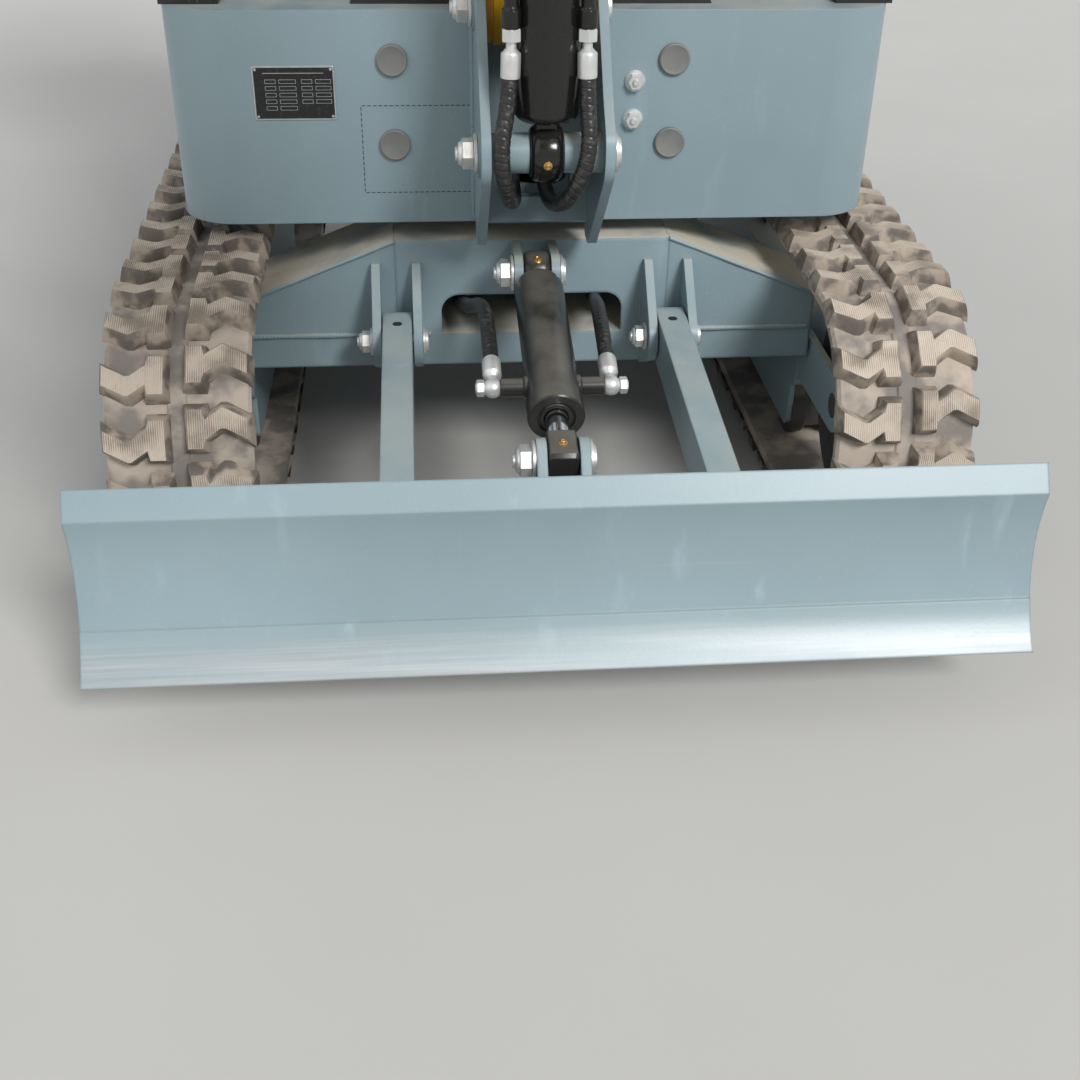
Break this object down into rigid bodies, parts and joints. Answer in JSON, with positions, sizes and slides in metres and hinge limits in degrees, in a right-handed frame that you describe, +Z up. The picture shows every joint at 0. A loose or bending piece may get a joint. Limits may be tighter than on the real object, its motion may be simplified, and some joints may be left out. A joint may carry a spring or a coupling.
{
  "type": "mini excavator",
  "caption": "Mini excavator on rubber tracks with a dozer blade, a slewing house under a canopy, and a hydraulic boom, arm and bucket.",
  "frame": {"origin": "middle of the machine's outer box at ground level", "axes": "+Z up, the machine faces -Y, the operator's right is -X"},
  "size_m": [1.1, 2.8556, 2.4836],
  "materials": {
    "rubber_track": "dusty rubber",
    "blue_grey_paint": "satin blue-grey paint",
    "yellow_paint": "gloss yellow paint",
    "dark_steel": "dull dark steel",
    "black_paint": "gloss black paint",
    "chromed_rod": "polished chrome",
    "zinc_pins": "zinc plated",
    "black_plastic": "textured black plastic",
    "hose_rubber": "black hose with a spiral guard",
    "seat_vinyl": "black vinyl",
    "roof_plastic": "satin black"
  },
  "bodies": {
    "undercarriage": {"centre_frame": "blue_grey_paint", "frame_legs": "blue_grey_paint", "tow_lug": "blue_grey_paint", "slew_bearing": "dark_steel", "track_left": "rubber_track", "track_frame_left": "blue_grey_paint", "idler_left": "dark_steel", "sprocket_left": "dark_steel", "rollers_left": "dark_steel", "track_right": "rubber_track", "track_frame_right": "blue_grey_paint", "idler_right": "dark_steel", "sprocket_right": "dark_steel", "rollers_right": "dark_steel", "frame_brackets": "blue_grey_paint", "frame_pins": "zinc_pins", "blade_hoses": "hose_rubber"},
    "blade": {"blade_frame": "blue_grey_paint"},
    "blade_barrel": {"blade_barrel": "black_paint"},
    "blade_rod": {"blade_rod": "chromed_rod"},
    "house": {"deck_frame": "blue_grey_paint", "boom_bracket": "blue_grey_paint", "counterweight": "blue_grey_paint", "engine_block": "dark_steel", "engine_cowl": "blue_grey_paint", "seat_base": "black_plastic", "seat_cushion": "seat_vinyl", "seat_back": "seat_vinyl", "canopy_posts": "black_paint", "canopy_roof": "roof_plastic", "house_pins": "zinc_pins", "console_left": "black_plastic", "console_right": "black_plastic", "joysticks": "black_plastic", "travel_levers": "black_plastic", "panel_caps": "black_plastic", "boom_hoses": "hose_rubber"},
    "engine_hood": {"engine_hood": "yellow_paint", "hood_grilles": "black_paint"},
    "boom": {"boom": "yellow_paint", "boom_pins": "zinc_pins"},
    "boom_barrel": {"boom_barrel": "black_paint"},
    "boom_rod": {"boom_rod": "chromed_rod"},
    "arm": {"arm": "yellow_paint", "arm_pins": "zinc_pins"},
    "arm_barrel": {"arm_barrel": "black_paint"},
    "arm_rod": {"arm_rod": "chromed_rod"},
    "rocker": {"rocker": "yellow_paint"},
    "bucket_barrel": {"bucket_barrel": "black_paint"},
    "bucket_rod": {"bucket_rod": "chromed_rod"},
    "bucket": {"bucket": "dark_steel", "bucket_pins": "zinc_pins"},
    "bucket_link": {"bucket_link": "yellow_paint"}
  },
  "joints": [
    {"name": "slew", "type": "hinge", "parent": "undercarriage", "child": "house", "pos_m": [0, 0.48, 0], "axis": [0, 0, 1], "continuous": true},
    {"name": "blade_lift", "type": "hinge", "parent": "undercarriage", "child": "blade", "pos_m": [0, -0.041, 0.275], "axis": [-1, 0, 0], "range_deg": [-28, 20]},
    {"name": "blade_cylinder_swing", "type": "hinge", "parent": "undercarriage", "child": "blade_barrel", "pos_m": [0, -0.048, 0.375], "axis": [-1, 0, 0], "range_deg": [-26.99, 19.42], "deforming": ["blade_hoses"]},
    {"name": "blade_rod_slide", "type": "slide", "parent": "blade_barrel", "child": "blade_rod", "axis": [0, -0.9784, -0.2069], "range_m": [-0.0356, 0.049]},
    {"name": "boom_lift", "type": "hinge", "parent": "house", "child": "boom", "pos_m": [0, -0.021, 0.712], "axis": [-1, 0, 0], "range_deg": [-92, 4]},
    {"name": "boom_cylinder_swing", "type": "hinge", "parent": "house", "child": "boom_barrel", "pos_m": [0, -0.159, 0.57], "axis": [-1, 0, 0], "range_deg": [-90.2, 4.4], "deforming": ["boom_hoses"]},
    {"name": "boom_rod_slide", "type": "slide", "parent": "boom_barrel", "child": "boom_rod", "axis": [0, 0.0026, 1], "range_m": [-0.2854, 0.0143]},
    {"name": "arm_fold", "type": "hinge", "parent": "boom", "child": "arm", "pos_m": [0, -0.79278, 2.22671], "axis": [1, 0, 0], "range_deg": [-70, 30]},
    {"name": "arm_cylinder_swing", "type": "hinge", "parent": "boom", "child": "arm_barrel", "pos_m": [0, 0.1468, 1.58313], "axis": [-1, 0, 0], "range_deg": [-0.59, 0.72]},
    {"name": "arm_rod_slide", "type": "slide", "parent": "arm_barrel", "child": "arm_rod", "axis": [0, -0.6993, 0.7148], "range_m": [-0.2698, 0.1168]},
    {"name": "bucket_curl", "type": "hinge", "parent": "arm", "child": "bucket", "pos_m": [0, -1.31019, 1.42997], "axis": [1, 0, 0], "range_deg": [-160, 5]},
    {"name": "rocker_swing", "type": "hinge", "parent": "arm", "child": "rocker", "pos_m": [0, -1.22098, 1.62243], "axis": [1, 0, 0], "range_deg": [-95.4, 3.47]},
    {"name": "bucket_link_swing", "type": "hinge", "parent": "bucket", "child": "bucket_link", "pos_m": [0, -1.34242, 1.27836], "axis": [-1, 0, 0], "range_deg": [-133.51, 4.66]},
    {"name": "bucket_cylinder_swing", "type": "hinge", "parent": "arm", "child": "bucket_barrel", "pos_m": [0, -0.95294, 2.25918], "axis": [1, 0, 0], "range_deg": [-14.31, 0.93]},
    {"name": "bucket_rod_slide", "type": "slide", "parent": "bucket_barrel", "child": "bucket_rod", "axis": [0, -0.5022, -0.8647], "range_m": [-0.2737, 0.0105]},
    {"name": "hood_open", "type": "hinge", "parent": "house", "child": "engine_hood", "pos_m": [0, 0.91, 1.14], "axis": [1, 0, 0], "range_deg": [0, 60]}
  ],
  "couplings": [
    {"joint": "blade_cylinder_swing", "follows": "blade_lift", "ratio": 0.9462},
    {"joint": "blade_rod_slide", "follows": "blade_lift", "m_per_rad": -0.0962},
    {"joint": "boom_cylinder_swing", "follows": "boom_lift", "ratio": 0.975},
    {"joint": "boom_rod_slide", "follows": "boom_lift", "m_per_rad": 0.1765},
    {"joint": "arm_cylinder_swing", "follows": "arm_fold", "ratio": -0.0031},
    {"joint": "arm_rod_slide", "follows": "arm_fold", "m_per_rad": 0.2192},
    {"joint": "rocker_swing", "follows": "bucket_curl", "ratio": 0.5931},
    {"joint": "bucket_link_swing", "follows": "bucket_curl", "ratio": 0.8313},
    {"joint": "bucket_cylinder_swing", "follows": "bucket_curl", "ratio": 0.0863},
    {"joint": "bucket_rod_slide", "follows": "bucket_curl", "m_per_rad": 0.0973}
  ]
}
